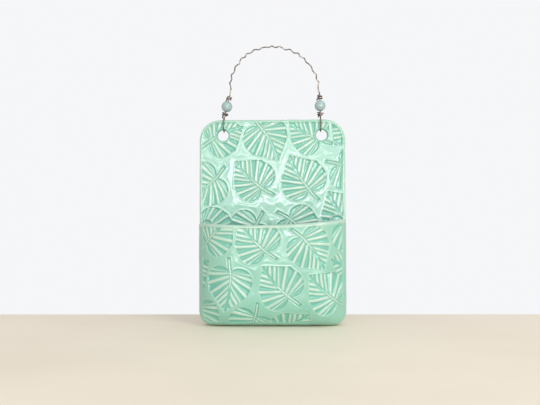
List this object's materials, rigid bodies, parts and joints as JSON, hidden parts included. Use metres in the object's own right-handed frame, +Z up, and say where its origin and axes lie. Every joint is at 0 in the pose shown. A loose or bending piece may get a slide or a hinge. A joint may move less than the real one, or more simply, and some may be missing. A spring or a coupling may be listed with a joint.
{
  "type": "hanging wall vase",
  "caption": "Flat slab-built ceramic wall pocket with a bowed open front, leaf-pressed and glazed, hung on a crinkled wire bail with a round bead at each side.",
  "frame": {"origin": "the hang point: underside of the wire at the crown of the arch, where a nail carries it", "axes": "+Z up along the vase's height, -Y out of the wall towards the viewer, +X to the viewer's right"},
  "size_m": [0.105, 0.0304, 0.2014],
  "materials": {
    "glazed_slab": "glossy mint glaze",
    "glazed_pocket": "glossy mint glaze",
    "steel_wire": "dull annealed wire",
    "bead_stone": "polished cloudy stone"
  },
  "bodies": {
    "hanger": {"hanger_wire": "steel_wire", "lower_winding_left": "steel_wire", "lower_winding_right": "steel_wire", "upper_winding_left": "steel_wire", "upper_winding_right": "steel_wire"},
    "vase": {"back_slab": "glazed_slab", "pocket_front": "glazed_pocket"},
    "bead_left": {"bead_left": "bead_stone"},
    "bead_right": {"bead_right": "bead_stone"}
  },
  "joints": [
    {"name": "vase_swing", "type": "hinge", "parent": "hanger", "child": "vase", "pos_m": [0, 0, -0.0572], "axis": [1, 0, 0], "range_deg": [-140, 140]},
    {"name": "bead_left_spin", "type": "hinge", "parent": "hanger", "child": "bead_left", "pos_m": [-0.03277, 0, -0.04367], "axis": [0.2588, 0, 0.9659], "continuous": true},
    {"name": "bead_right_spin", "type": "hinge", "parent": "hanger", "child": "bead_right", "pos_m": [0.03461, 0, -0.04339], "axis": [-0.0349, 0, 0.9994], "continuous": true}
  ]
}
